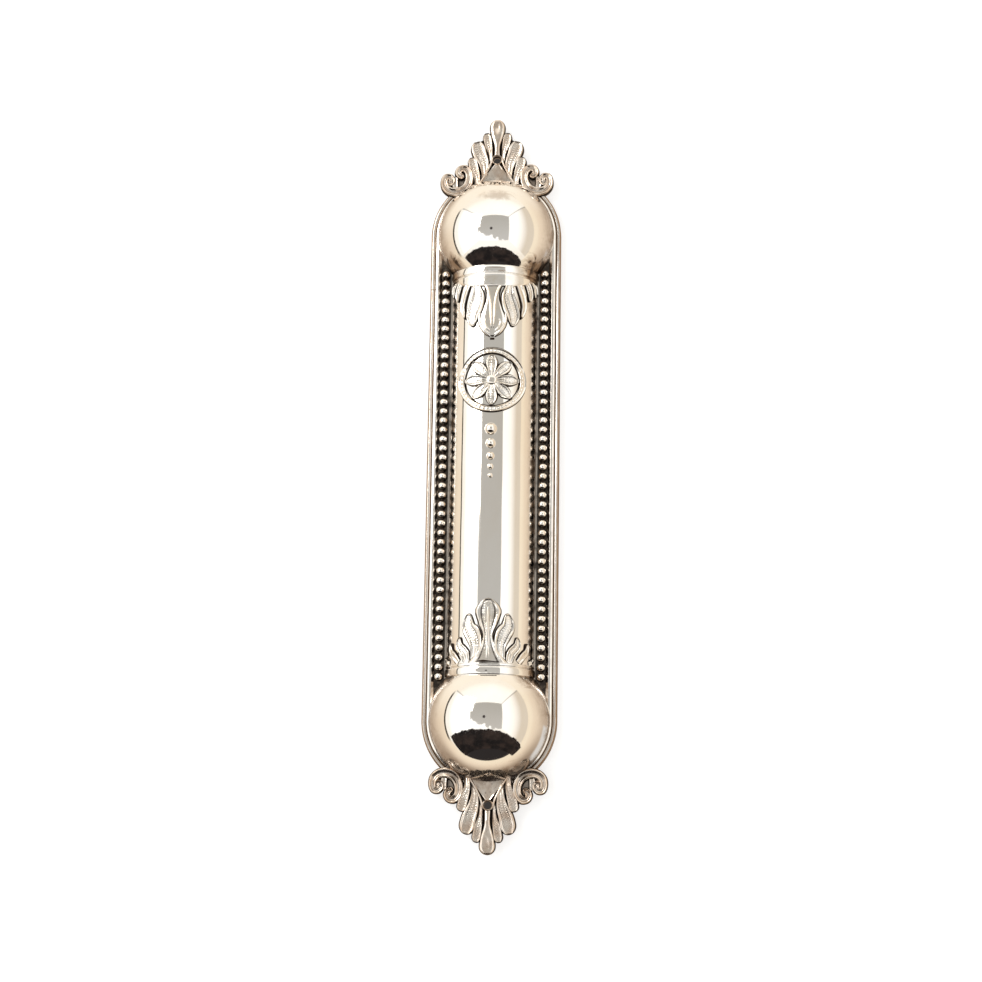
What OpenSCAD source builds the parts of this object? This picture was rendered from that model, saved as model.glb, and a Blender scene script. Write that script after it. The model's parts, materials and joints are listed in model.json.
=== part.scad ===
// Wall-mounted case for a rolled parchment: a half-round tube between two domes,
// on a back plate with round ends, closed behind by a sliding cover.
// +Z runs up the length, the front faces -Y, and the wall plane is y = 0.
// A height "above the wall" is measured along -Y.

/* [Back plate and rim] */
// Radius of the rim's round ends, which is half the width of the case
flange_r = 16.2; // [16.2:0.1:17]
// Distance from the middle of the case to the centre of each round end
end_z = 60.3; // [60.3:0.1:61]
// Height of the rim's crest above the wall
rim_h = 2.9; // [2.8:0.1:3.2]
// Radius of the small half-round along the rim's outer edge
rim_round_r = 0.6; // [0.5:0.05:0.6]
// Thickness of the back plate
plate_t = 0.8; // [0.6:0.1:0.9]

/* [Tube and domes] */
// Outer radius of the half-round tube
tube_r = 10.7; // [10.3:0.1:10.7]
// Wall of the tube
tube_wall = 0.6; // [0.5:0.05:0.7]
// Outer radius of the domes
dome_r = 14.8; // [14.6:0.1:14.9]
// Wall of the domes
dome_wall = 0.7; // [0.5:0.1:0.8]

/* [Beaded wires] */
// Radius of one bead
bead_r = 1; // [0.8:0.05:1]
// Distance from bead to bead
bead_pitch = 2.33; // [2.2:0.01:2.34]
// Number of beads along each side
bead_count = 44; // [30:2:44]
// Distance from the centre line to each row of beads
bead_x = 12.2; // [12.2:0.05:12.3]

/* [Finials] */
// Distance from the middle of the case to each nail hole
hole_z = 80.3; // [80.3:0.1:81.5]
// Distance from the top finial's tip to its nail hole
top_tip = 10.7; // [10.7:0.1:11.6]
// Distance from the bottom finial's tip to its nail hole
bottom_tip = 11.6; // [10.7:0.1:11.6]
// Radius of the nail holes
hole_r = 0.85; // [0.7:0.05:1]
// Thickness of the finial castings
finial_t = 1.9; // [1.6:0.1:2.2]

/* [Ornament on the tube] */
// Height of the relief above the tube
relief_h = 0.7; // [0.5:0.1:0.9]
// Radius of the round medallion
medallion_r = 8; // [7:0.1:8.2]
// Height of the medallion's centre above the middle of the case
medallion_z = 21.2; // [20:0.1:22]
// Radii of the drop beads, from the top one down
drop_bead_r = [1.5, 1.23, 1, 0.75, 0.6]; // [0.5:0.01:1.6]
// Height of the top drop bead above the middle of the case
drop_bead_z = 9; // [8:0.1:10]
// Gap between one drop bead and the next
drop_bead_gap = 0.85; // [0.6:0.05:1.2]

/* [Sliding cover] */
// Width of the cover behind the case
cover_w = 14.8; // [14:0.1:14.8]
// Thickness of the cover
cover_t = 0.8; // [0.6:0.1:0.8]
// Gap on each side of the cover in its guides
slide_gap = 0.15; // [0.1:0.01:0.15]

/* [Parchment] */
// Length of the rolled parchment, which is the height of the written sheet
scroll_len = 100; // [90:1:100]
// Outer radius of the rolled parchment
scroll_r = 3.7; // [3:0.1:3.7]
// Wall of the clear film round the parchment
film_t = 0.2; // [0.1:0.05:0.2]

/* [Hidden] */
$fn = 96;

// Sideways and lengthways reach of the blocks that cut things off
far = 120;

// Back of the case: guide lip, cover and plate, from the wall outwards
lip_back = 0.1;
lip_t = 0.3;
lip_reach = 1;
rail_web = 0.8;
cover_back = lip_back + lip_t + slide_gap;
plate_back = cover_back + cover_t + slide_gap;
plate_front = plate_back + plate_t;
rail_x = cover_w / 2 + slide_gap;
window_w = 9.2;
window_z = end_z - 3.8;

// Rim section: leg on the wall, gently sloping top, steep slope to the bead channel
leg_w = 1.6;
leg_r = flange_r - leg_w;
step_r = flange_r - 2 * rim_round_r - 0.05;
slope_r = step_r - 0.95;
channel_r = slope_r - 0.65;
round_h = rim_h - 1;
rim_fall = 0.25;

// Where a dome meets the tube, and the ring over that seam
seam_r = tube_r + 0.2;
seam_z = end_z - sqrt(pow(dome_r, 2) - pow(seam_r, 2));
collar_w = 2.8;
collar_band_w = 1.9;
collar_band_r = tube_r + 0.4;
collar_groove_w = 0.25;
collar_groove_r = tube_r + 0.1;
wreath_z = seam_z - collar_w;

// Rosette: width of the ring round it, its middle boss, and its petals
ring_w = 1.5;
rosette_boss_r = 1.25;
petals = 8;
petal_w = 2.8;
petal_start = 0.9;
petal_end = medallion_r - ring_w + 0.3;

// Finial: length of its lobes, and height of its back and front above the wall
lobes_len = 11.6;
finial_back = plate_back;
finial_front = finial_back + finial_t;
web_t = 0.9;
boss_r = 1.75;

// Parchment: it stands on the lower edge of the plate's window
sleeve_r = scroll_r + film_t;
sleeve_over = 1.5;
sleeve_len = scroll_len + 2 * sleeve_over;
scroll_h = cover_back + cover_t + slide_gap + sleeve_r;
scroll_z = -window_z + 0.2 + sleeve_len / 2;

// Colours
silver = [0.86, 0.84, 0.81];
cast_silver = [0.74, 0.71, 0.68];
sheet_silver = [0.8, 0.79, 0.77];
parchment = [0.9, 0.84, 0.7];
film = [0.85, 0.9, 0.95, 0.5];

// Extrudes a flat shape, drawn in X and Z, between two heights above the wall
module raised(low, high)
    translate([0, -low, 0])
        rotate([90, 0, 0])
            linear_extrude(high - low)
                children();

// Keeps what stands higher above the wall than the given height
module above(height)
    intersection() {
        children();
        translate([-far, -far - height, -far])
            cube([2 * far, far, 2 * far]);
    }

// Draws its children at the top and, turned half a turn, at the bottom
module both_ends() {
    children();
    rotate([0, 180, 0]) children();
}

// Draws its children at the right and, mirrored, at the left
module both_sides() {
    children();
    mirror([1, 0, 0]) children();
}

// Outline with straight sides and round ends, about the case's middle
module stadium(r) {
    square([2 * r, 2 * end_z], center = true);
    for (side = [-1, 1])
        translate([0, side * end_z]) circle(r);
}

// Pointed leaf that grows along +Y of the flat shape from the origin
module leaf(length, width) {
    half = width / 2;
    arc_r = (pow(length / 2, 2) + pow(half, 2)) / width;
    intersection() {
        translate([arc_r - half, length / 2]) circle(arc_r);
        translate([half - arc_r, length / 2]) circle(arc_r);
    }
}

// Round-ended lobe that widens along +Y of the flat shape from the origin
module lobe(length, width, base) {
    end_y = length - width / 2;
    translate([0, end_y]) circle(width / 2);
    polygon([
        [-base / 2, 0], [base / 2, 0],
        [width / 2, end_y], [-width / 2, end_y]
    ]);
}

// Half-round band about the tube's axis, standing on the back plate
module tube_band(inner_r, outer_r, low_z, high_z)
    above(plate_front)
        translate([0, 0, low_z])
            difference() {
                cylinder(r = outer_r, h = high_z - low_z);
                translate([0, 0, -1])
                    cylinder(r = inner_r, h = high_z - low_z + 2);
            }

module base_plate()
    color(cast_silver)
        raised(plate_back, plate_front)
            difference() {
                stadium(leg_r);
                square([window_w, 2 * window_z], center = true);
            }

// Section of the rim, drawn as radius against height above the wall
module rim_section() {
    polygon([
        [leg_r, 0], [flange_r, 0], [flange_r, round_h],
        [step_r, round_h], [step_r, rim_h - rim_fall], [slope_r, rim_h],
        [channel_r, plate_front], [leg_r, plate_front]
    ]);
    translate([flange_r - rim_round_r, round_h]) circle(rim_round_r);
}

module rim_moulding()
    color(silver)
        difference() {
            both_ends() {
                translate([0, 0, end_z])
                    rotate([90, 0, 0])
                        rotate_extrude(angle = 180) rim_section();
                translate([0, 0, -end_z])
                    linear_extrude(2 * end_z)
                        mirror([0, 1]) rim_section();
            }
            // Slot in the top end, which the cover slides out through
            translate([-rail_x, -plate_back, end_z])
                cube([2 * rail_x, plate_back + 1, far]);
        }

// One row of half-sunk beads on a thin core wire
module bead_strip()
    color(silver)
        above(plate_front)
            translate([bead_x, -plate_front - 0.75 * bead_r, 0]) {
                for (i = [0 : bead_count - 1])
                    translate([0, 0, (i - (bead_count - 1) / 2) * bead_pitch])
                        sphere(bead_r, $fn = 48);
                cylinder(
                    r = 0.45 * bead_r,
                    h = (bead_count - 1) * bead_pitch,
                    center = true
                );
            }

module left_bead_strip() mirror([1, 0, 0]) bead_strip();

module right_bead_strip() bead_strip();

// Lobes of a finial, with the tip along +Y of the flat shape
module finial_lobes() {
    // Club-shaped middle lobe
    lobe(lobes_len, 3.9, 1.8);
    both_sides() {
        // Petal, feather and side lobe, from the middle outwards
        translate([0.9, 0.4]) rotate(-14) lobe(8, 2.6, 1.2);
        translate([1.9, -4.6]) rotate(-18) lobe(11, 4.5, 1.8);
        translate([3.6, -6.4]) rotate(-22) lobe(7.9, 2.5, 1.4);
        // Two curls of the C scroll, and its back
        translate([8.3, -2.9]) circle(2);
        translate([11.6, -5.7]) circle(2.1);
        translate([9.2, -5.4]) circle(2.4);
    }
}

// Thin panel that carries the lobes and reaches down to the dome
module finial_web()
    polygon([
        [-12, -7.5], [-6.6, -3], [-5.4, 2.6], [-2.4, 6.6],
        [2.4, 6.6], [5.4, 2.6], [6.6, -3], [12, -7.5]
    ]);

// Finial whose tip stands the given distance beyond its nail hole
module finial(tip)
    color(cast_silver)
        difference() {
            translate([0, 0, hole_z]) {
                raised(finial_back, finial_front) {
                    translate([0, tip - lobes_len]) finial_lobes();
                    circle(boss_r);
                }
                raised(finial_back, finial_front - web_t)
                    translate([0, tip - lobes_len]) finial_web();
                raised(rim_h, finial_front)
                    polygon([[-5.2, -8], [0, 0], [5.2, -8]]);
            }
            // The rim and the dome take their own space
            translate([0, 0, end_z]) {
                raised(0, rim_h) circle(flange_r);
                sphere(dome_r);
            }
            translate([0, 0, hole_z])
                raised(0, finial_front + 1) circle(hole_r);
        }

module top_finial() finial(top_tip);

module bottom_finial() rotate([0, 180, 0]) finial(bottom_tip);

module tube_shell()
    color(silver)
        tube_band(tube_r - tube_wall, tube_r, -seam_z, seam_z);

module dome()
    color(silver)
        difference() {
            above(plate_front)
                translate([0, 0, end_z])
                    difference() {
                        sphere(dome_r);
                        sphere(dome_r - dome_wall);
                    }
            // Flat seam towards the tube
            translate([-far, -far, seam_z - far]) cube([2 * far, 2 * far, far]);
            // The dome's foot stands on the rim where it reaches the rim
            raised(0, rim_h)
                difference() {
                    stadium(flange_r);
                    stadium(channel_r);
                }
        }

module upper_dome() dome();

module lower_dome() rotate([0, 180, 0]) dome();

// Broad band round the tube, with a groove and a narrow lip on the middle's side
module collar()
    color(silver) {
        band_z = seam_z - collar_band_w;
        tube_band(tube_r, collar_band_r, band_z, seam_z);
        tube_band(tube_r, collar_groove_r, band_z - collar_groove_w, band_z);
        tube_band(tube_r, seam_r, wreath_z, band_z - collar_groove_w);
    }

module upper_collar() collar();

module lower_collar() rotate([0, 180, 0]) collar();

// Cuts radial pieces down to a layer of metal that follows the tube
module on_tube(low_z, high_z)
    intersection() {
        tube_band(tube_r, tube_r + relief_h, low_z, high_z);
        union() children();
    }

// Extrudes a flat shape out through the tube's front, turned about its axis
module radial(turn)
    rotate([0, 0, turn])
        raised(tube_r / 2, tube_r + 2 * relief_h)
            children();

// Leaves in pairs round the tube, each as [turn, length, width, lean], on one band
module leaf_ring(leaves) {
    translate([0, 0, wreath_z - 0.8]) cylinder(r = tube_r + 2 * relief_h, h = 2);
    for (side = [-1, 1])
        for (spec = leaves)
            radial(side * spec[0])
                translate([0, wreath_z])
                    rotate(180 + side * spec[3])
                        lobe(spec[1], spec[2], spec[2] / 2);
}

module upper_leaf_wreath()
    color(cast_silver)
        on_tube(wreath_z - 15.6, wreath_z) {
            leaf_ring([[23, 13.5, 4, -3], [47, 8.6, 3.4, 4], [67, 6, 2.4, 6]]);
            // Middle leaf, and the plain bowed apron that it hangs from
            radial(0) translate([0, wreath_z]) rotate(180) leaf(15.6, 5);
            radial(0) translate([-8, wreath_z]) rotate(-90) leaf(16, 6);
        }

module lower_leaf_wreath()
    color(cast_silver)
        rotate([0, 180, 0])
            on_tube(wreath_z - 15.6, wreath_z) {
                leaf_ring([[25, 11.4, 4, 3], [48, 7.6, 3.2, 4], [67, 6, 2.4, 4]]);
                // Middle palmette and its flared foot
                radial(0) translate([0, wreath_z]) rotate(180) lobe(15.6, 5.6, 2);
                radial(0) translate([-8, wreath_z]) rotate(-90) leaf(16, 3);
            }

// Round frame with a rosette of pointed petals inside it
module medallion()
    color(cast_silver)
        on_tube(medallion_z - medallion_r, medallion_z + medallion_r)
            radial(0)
                translate([0, medallion_z]) {
                    difference() {
                        circle(medallion_r);
                        circle(medallion_r - ring_w);
                    }
                    circle(rosette_boss_r);
                    for (i = [0 : petals - 1])
                        rotate(i * 360 / petals)
                            translate([0, petal_start])
                                leaf(petal_end - petal_start, petal_w);
                }

// Height of a drop bead's centre, counted down from the top one
function drop_z(i) =
    i == 0
        ? drop_bead_z
        : drop_z(i - 1) - drop_bead_r[i - 1] - drop_bead_r[i] - drop_bead_gap;

module drop_beads()
    color(silver)
        for (i = [0 : len(drop_bead_r) - 1])
            difference() {
                translate([0, -tube_r, drop_z(i)]) sphere(drop_bead_r[i], $fn = 48);
                translate([0, 0, drop_z(i) - far / 2]) cylinder(r = tube_r, h = far);
            }

// Angle strip that holds one edge of the cover against the back plate
module guide_rail()
    color(sheet_silver) {
        rail_z = end_z + sqrt(pow(leg_r - slide_gap, 2) - pow(rail_x + rail_web, 2));
        raised(lip_back, plate_back)
            translate([rail_x, -rail_z]) square([rail_web, 2 * rail_z]);
        raised(lip_back, lip_back + lip_t)
            translate([rail_x - lip_reach, -rail_z])
                square([lip_reach + rail_web, 2 * rail_z]);
    }

module left_guide_rail() mirror([1, 0, 0]) guide_rail();

module right_guide_rail() guide_rail();

module rear_cover()
    color(sheet_silver)
        raised(cover_back, cover_back + cover_t)
            intersection() {
                square([cover_w, 2 * far], center = true);
                union() {
                    stadium(leg_r - slide_gap);
                    translate([0, end_z]) circle(flange_r);
                }
            }

// Three half-round ridges on the back of the cover, for a thumb
module cover_grip()
    color(sheet_silver)
        intersection() {
            for (i = [-1 : 1])
                translate([0, -cover_back, 1.6 * i - end_z - 4])
                    rotate([0, 90, 0])
                        cylinder(r = 0.4, h = 0.6 * cover_w, center = true);
            translate([-far, -cover_back, -far]) cube(2 * far);
        }

module parchment_scroll()
    color(parchment)
        translate([0, -scroll_h, scroll_z - scroll_len / 2])
            difference() {
                cylinder(r = scroll_r, h = scroll_len);
                translate([0, 0, -1]) cylinder(r = 0.9, h = scroll_len + 2);
            }

module scroll_sleeve()
    color(film)
        translate([0, -scroll_h, scroll_z - sleeve_len / 2])
            difference() {
                cylinder(r = sleeve_r, h = sleeve_len);
                translate([0, 0, -1]) cylinder(r = scroll_r, h = sleeve_len + 2);
            }

base_plate();
rim_moulding();
left_bead_strip();
right_bead_strip();
top_finial();
bottom_finial();
tube_shell();
upper_dome();
lower_dome();
upper_collar();
lower_collar();
upper_leaf_wreath();
lower_leaf_wreath();
medallion();
drop_beads();
left_guide_rail();
right_guide_rail();
rear_cover();
cover_grip();
parchment_scroll();
scroll_sleeve();
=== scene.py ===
"""Silver mezuzah case in a pale studio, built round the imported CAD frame.

The frame's axes: +Z up the length, the front faces -Y, the wall is the plane y = 0.
Lengths inside the shape functions are millimetres, and "height" is measured from
the wall along -Y. make_piece() turns them into metres.
"""

import json
import math

import bmesh
import bpy
import numpy as np
from mathutils import Matrix, Vector


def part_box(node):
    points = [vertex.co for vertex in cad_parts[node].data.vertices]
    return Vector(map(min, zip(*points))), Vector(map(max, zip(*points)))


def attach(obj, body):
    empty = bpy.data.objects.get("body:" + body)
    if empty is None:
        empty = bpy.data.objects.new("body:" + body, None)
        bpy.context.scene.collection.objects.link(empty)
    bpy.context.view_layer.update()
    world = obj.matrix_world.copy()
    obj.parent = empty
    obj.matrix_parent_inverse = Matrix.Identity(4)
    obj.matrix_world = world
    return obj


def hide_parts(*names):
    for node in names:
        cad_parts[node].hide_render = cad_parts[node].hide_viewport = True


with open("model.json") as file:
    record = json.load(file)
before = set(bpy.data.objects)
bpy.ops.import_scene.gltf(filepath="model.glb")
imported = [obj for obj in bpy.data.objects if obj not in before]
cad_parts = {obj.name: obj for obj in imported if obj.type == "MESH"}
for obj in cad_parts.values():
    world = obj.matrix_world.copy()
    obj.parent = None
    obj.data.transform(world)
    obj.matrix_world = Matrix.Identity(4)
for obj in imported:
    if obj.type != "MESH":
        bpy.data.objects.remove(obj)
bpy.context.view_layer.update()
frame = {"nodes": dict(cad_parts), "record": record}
scene = bpy.context.scene

MM = 0.001


# ---------------------------------------------------------------- sizes from the frame
def box_mm(node):
    """Lowest and highest corner of a CAD node in millimetres."""
    low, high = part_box(node)
    return low / MM, high / MM


tube_low, tube_high = box_mm("tube_shell")
dome_low = box_mm("upper_dome")[0]
rim_low, rim_high = box_mm("rim_moulding")
plate_low, plate_high = box_mm("base_plate")
collar_low = box_mm("upper_collar")[0]
finial_low, finial_high = box_mm("top_finial")
bead_low, bead_high = box_mm("right_bead_strip")
medal_low, medal_high = box_mm("medallion")
drop_high = box_mm("drop_beads")[1]
cover_low, cover_high = box_mm("rear_cover")
rail_low = box_mm("right_guide_rail")[0]
scroll_low, scroll_high = box_mm("parchment_scroll")
sleeve_low, sleeve_high = box_mm("scroll_sleeve")

tube_r = -tube_low.y
plate_front = -plate_low.y
plate_back = -plate_high.y
seam_z = tube_high.z
dome_r = -dome_low.y
flange_r = rim_high.x
end_z = rim_high.z - flange_r
rim_h = -rim_low.y
wreath_z = collar_low.z
finial_back = -finial_high.y
finial_front = -finial_low.y
nail_mount = next(m for m in frame["record"]["mounts"] if m["name"] == "nail_holes")
hole_z = nail_mount["dims"]["spacing_y_mm"] / 2
hole_r = nail_mount["dims"]["hole_r_mm"]

# Sizes of the CAD model that no box gives, in millimetres
DOME_WALL = 0.7
TUBE_WALL = 0.6
LEG_W = 1.6
SLIDE_GAP = 0.15
LOBES_LEN = 11.6
BEAD_COUNT = 44
DROP_RADII = [1.5, 1.23, 1.0, 0.75, 0.6]
DROP_GAP = 0.85

# Edges and crests of the reliefs: above the wall on the finials, above the tube on the tube
FIELD = finial_back + 0.75
LOBE_TOP = finial_front - 0.02
HALO_H = 0.06
LEVEL = 0.1
RELIEF = 0.68


# ---------------------------------------------------------------- mesh building
def grid_faces(rows, columns, first=0, wrap_rows=False, wrap_columns=False, flip=False):
    """Quads over a grid of points numbered row by row."""
    r = np.arange(rows if wrap_rows else rows - 1)
    c = np.arange(columns if wrap_columns else columns - 1)
    r, c = np.meshgrid(r, c, indexing="ij")
    r2, c2 = (r + 1) % rows, (c + 1) % columns
    quads = np.stack([r * columns + c, r * columns + c2, r2 * columns + c2, r2 * columns + c], -1)
    quads = quads.reshape(-1, 4) + first
    return quads[:, ::-1] if flip else quads


def slab(front, back, shine, wrap_rows=False, wrap_columns=False):
    """Closed piece between two equal grids of points, as (points, quads, shine)."""
    rows, columns = front.shape[:2]
    count = rows * columns
    points = np.concatenate([front.reshape(-1, 3), back.reshape(-1, 3)])
    quads = [
        grid_faces(rows, columns, 0, wrap_rows, wrap_columns),
        grid_faces(rows, columns, count, wrap_rows, wrap_columns, flip=True),
    ]
    index = np.arange(count).reshape(rows, columns)
    edges = []
    if not wrap_rows:
        edges += [index[0], index[-1][::-1]]
    if not wrap_columns:
        edges += [index[:, 0][::-1], index[:, -1]]
    for edge in edges:
        along_row = len(edge) == columns and edge[0] // columns == edge[-1] // columns
        closed = wrap_columns if along_row else wrap_rows
        follow = np.roll(edge, -1) if closed else edge[1:]
        edge = edge if closed else edge[:-1]
        quads.append(np.stack([edge, edge + count, follow + count, follow], -1))
    shine = np.broadcast_to(shine, (rows, columns)).reshape(-1)
    return points, np.concatenate(quads), np.concatenate([shine, shine])


def make_piece(name, parts, material, body, slot_name, *nodes, wobble=0.0, auto=35):
    """One Blender object from several closed parts. It replaces the named CAD nodes.

    wobble is the hand-made unevenness in millimetres, and an edge bent more than auto
    degrees stays sharp."""
    points, quads, shine, first = [], [], [], 0
    for p, q, s in parts:
        points.append(p)
        quads.append(q + first)
        shine.append(s)
        first += len(p)
    points, quads, shine = np.concatenate(points), np.concatenate(quads), np.concatenate(shine)
    if wobble:
        points = points + wobble * hand_wobble(points)
    mesh = bpy.data.meshes.new(name)
    mesh.from_pydata((points * MM).tolist(), [], quads.tolist())
    attribute = mesh.attributes.new("shine", "FLOAT", "POINT")
    attribute.data.foreach_set("value", shine.astype(np.float32))
    work = bmesh.new()
    work.from_mesh(mesh)
    bmesh.ops.remove_doubles(work, verts=work.verts, dist=2e-7)
    bmesh.ops.dissolve_degenerate(work, edges=work.edges, dist=1e-8)
    bmesh.ops.recalc_face_normals(work, faces=work.faces)
    for edge in work.edges:
        edge.smooth = not (edge.is_manifold and edge.calc_face_angle(0) > math.radians(auto))
    for face in work.faces:
        face.smooth = True
    work.to_mesh(mesh)
    work.free()
    piece = bpy.data.objects.new(name, mesh)
    scene.collection.objects.link(piece)
    mesh.materials.append(material)
    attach(piece, body)
    if nodes:
        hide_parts(*nodes)
    return piece


def hand_wobble(points):
    """Slow unevenness of hand-worked metal, less than 1 in each direction."""
    x, y, z = points.T
    return np.stack([
        np.sin(0.31 * z + 0.9) * np.cos(0.23 * x + 0.11 * z),
        np.sin(0.27 * z + 0.41 * x + 2.1) * 0.5 - 0.5,
        np.sin(0.37 * x - 0.19 * z),
    ], -1) * 0.5


def curve_through(knots, count, power=1.0):
    """Smooth curve through the knots (rows of numbers). A power over 1 crowds its end."""
    knots = np.array(knots, float)
    ends = np.vstack([2 * knots[0] - knots[1], knots, 2 * knots[-1] - knots[-2]])
    t = (1 - (1 - np.linspace(0, 1, count)) ** power) * (len(knots) - 1)
    i = np.minimum(t.astype(int), len(knots) - 2)
    f = (t - i)[:, None]
    a, b, c, d = ends[i], ends[i + 1], ends[i + 2], ends[i + 3]
    return 0.5 * (2 * b + (c - a) * f + (2 * a - 5 * b + 4 * c - d) * f**2 + (3 * b - a - 3 * c + d) * f**3)


def bump(x, centre, width):
    """Bell curve of height 1."""
    return np.exp(-(((x - centre) / width) ** 2))


def stipple(along, across, pitch=0.5):
    """Staggered rows of small round dots, from 0 to 1."""
    row = across / pitch * 0.87
    shift = (np.round(row) % 2) * 0.5
    return np.clip(np.cos(2 * np.pi * (along / pitch + shift)) * np.cos(2 * np.pi * row), 0, 1)


def leaf(spine, widths, low, high, style="leaf", rows=90, columns=41, close=2.0, root=0.15):
    """Relief leaf along a spine of (across, along) knots.

    Returns grids of across, along and height, and how bright each point is polished.
    low and high are the heights of its edge and of its crest, and close is the length
    over which its tip rounds off."""
    line = curve_through(np.column_stack([spine, widths]), rows, 1.5)
    centre, width = line[:, :2], line[:, 2]
    step = np.linalg.norm(np.diff(centre, axis=0), axis=1)
    run = np.concatenate([[0], np.cumsum(step)])
    s = run / run[-1]
    ending = np.clip((run - run[-1] + close) / close, 0, 1)
    width = np.maximum(width, 0.05) * np.sqrt(np.maximum(1 - ending**2, 0))
    tangent = np.gradient(centre, axis=0)
    tangent /= np.linalg.norm(tangent, axis=1)[:, None]
    t = np.sin(np.linspace(-np.pi / 2, np.pi / 2, columns))
    offset = t[None, :] * width[:, None] / 2
    across = centre[:, :1] - tangent[:, 1:] * offset
    along = centre[:, 1:] + tangent[:, :1] * offset
    s, run = s[:, None], run[:, None]
    side = np.maximum(np.abs(t)[None, :], ending[:, None] ** 3)
    margin = (1 - side) * np.maximum(width, 0.4)[:, None] / 2
    edge = np.sqrt(np.clip(1 - side**7, 0, 1))
    rise = root + (1 - root) * np.clip(s * 4, 0, 1)
    if style == "leaf":
        # Raised outline, stippled field and a rib that fades towards the tip
        field = bump(side, 0.3, 0.3) * bump(s, 0.5, 0.42)
        form = 0.5 + 0.5 * bump(side, 0.8, 0.15) + 0.35 * bump(side, 0, 0.1) * (1 - s)
        form = form + 0.3 * stipple(run, offset, 0.6) * field
        shine = 0.72 - 0.55 * bump(side, 0.52, 0.08) - 0.85 * field * stipple(run, offset, 0.6)
        shine = (shine + 0.5 * bump(side, 0.76, 0.12)) * np.clip((margin - 0.05) / 0.12, 0, 1)
    elif style == "shell":
        # Broad lobe with a soft rolled edge and a finely stippled hollow
        field = bump(side, 0.25, 0.28) * bump(s, 0.62, 0.3)
        form = 0.7 + 0.3 * bump(side, 0.76, 0.22) + 0.1 * bump(side, 0, 0.12) * (1 - s)
        form = form + 0.12 * stipple(run, offset, 0.6) * field
        shine = 0.85 - 0.45 * bump(side, 0.5, 0.08) - 0.9 * field * stipple(run, offset, 0.62)
        shine = shine * np.clip((margin - 0.17) / 0.26, 0, 1)
    elif style == "club":
        form = 1 - 0.3 * side**2 - 0.22 * bump(side, 0, 0.35) * bump(s, 0.8, 0.16)
        shine = np.clip((margin - 0.15) / 0.24, 0, 1)
    elif style == "ribbon":
        form = 0.6 + 0.4 * bump(side, 0.6, 0.3)
        shine = (form * 1.3 - 0.35) * np.clip((margin - 0.1) / 0.2, 0, 1)
    elif style == "halo":
        form, shine = np.ones_like(side), np.zeros_like(side)
    else:
        form = np.sqrt(np.clip(1 - side**2, 0, 1))
        shine = np.clip((margin - 0.02) / 0.1, 0, 1)
    height = low + (high - low) * form * edge * rise
    shine = np.clip(shine, 0, 1) * np.ones_like(height)
    return across, along, height, shine


def mirrored(grids):
    """The same leaf on the other side of the middle."""
    across, along, height, shine = grids
    return -across[:, ::-1], along[:, ::-1], height[:, ::-1], shine[:, ::-1]


def both_sides(leaves):
    """Leaves of the right side together with their mirror images."""
    return leaves + [mirrored(one) for one in leaves]


def on_plate(grids, end, root_z, back):
    """Puts a relief on a finial: end is 1 at the top and -1 at the bottom."""
    across, along, height, shine = grids
    x, z = end * across, end * (root_z + along)
    front = np.stack([x, -height, z], -1)
    rear = np.stack([x, np.full_like(x, -back), z], -1)
    return slab(front, rear, shine)


def on_tube(grids, end, base_z, sink=0.25, wrap_rows=False, flat=False):
    """Wraps a relief round the tube: along runs towards the middle.

    across is arc length or, with flat, the width as it is seen from the front."""
    across, along, height, shine = grids
    turn = end * (np.arcsin(across / tube_r) if flat else across / tube_r)
    z = end * (base_z - along)

    def wrapped(radius):
        return np.stack([radius * np.sin(turn), -radius * np.cos(turn), z * np.ones_like(turn)], -1)

    return slab(wrapped(tube_r + height), wrapped(np.full_like(height, tube_r - sink)), shine, wrap_rows)


# ---------------------------------------------------------------- shader building
class Graph:
    """Adds and links shader nodes in a few words."""

    def __init__(self, tree):
        self.tree = tree
        tree.nodes.clear()

    def add(self, kind, inputs=None, output=0, **settings):
        node = self.tree.nodes.new("ShaderNode" + kind)
        for key, value in settings.items():
            setattr(node, key, value)
        for key, value in (inputs or {}).items():
            if isinstance(value, bpy.types.NodeSocket):
                self.tree.links.new(value, node.inputs[key])
            else:
                node.inputs[key].default_value = value
        return node.outputs[output] if output is not None else node

    def math(self, operation, a, b=0.0, clamp=False):
        return self.add("Math", {0: a, 1: b}, operation=operation, use_clamp=clamp)

    def plus(self, a, b):
        return self.math("ADD", a, b)

    def minus(self, a, b):
        return self.math("SUBTRACT", a, b)

    def times(self, a, b, clamp=False):
        return self.math("MULTIPLY", a, b, clamp)

    def over(self, a, b):
        return self.math("DIVIDE", a, b)

    def most(self, a, b):
        """The larger of two values."""
        return self.math("MAXIMUM", a, b)

    def mix(self, factor, a, b):
        """Colour a where factor is 0 and b where it is 1."""
        return self.add("Mix", {0: factor, 6: a, 7: b}, output=2, data_type="RGBA")

    def step(self, value, low, high, start=0.0, end=1.0):
        """Smooth change from start to end as value goes from low to high."""
        return self.add(
            "MapRange", {0: value, 1: low, 2: high, 3: start, 4: end}, interpolation_type="SMOOTHSTEP"
        )

    def fall(self, value, low, high):
        """Smooth change from 1 to 0 as value goes from low to high."""
        return self.step(value, low, high, 1.0, 0.0)

    def place(self):
        """Object coordinates, which are the frame's own, in metres."""
        return self.add("TexCoord", output=3)

    def axes(self, vector):
        node = self.add("SeparateXYZ", {0: vector}, output=None)
        return node.outputs[0], node.outputs[1], node.outputs[2]

    def noise(self, scale, detail=3.0, rough=0.55, stretch=None, distortion=0.0):
        vector = self.place()
        if stretch:
            vector = self.add("Mapping", {0: vector, 3: stretch})
        return self.add(
            "TexNoise", {"Vector": vector, "Scale": scale, "Detail": detail, "Roughness": rough,
                         "Distortion": distortion}
        )


def rgb(r, g, b):
    return (r, g, b, 1.0)


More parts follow.
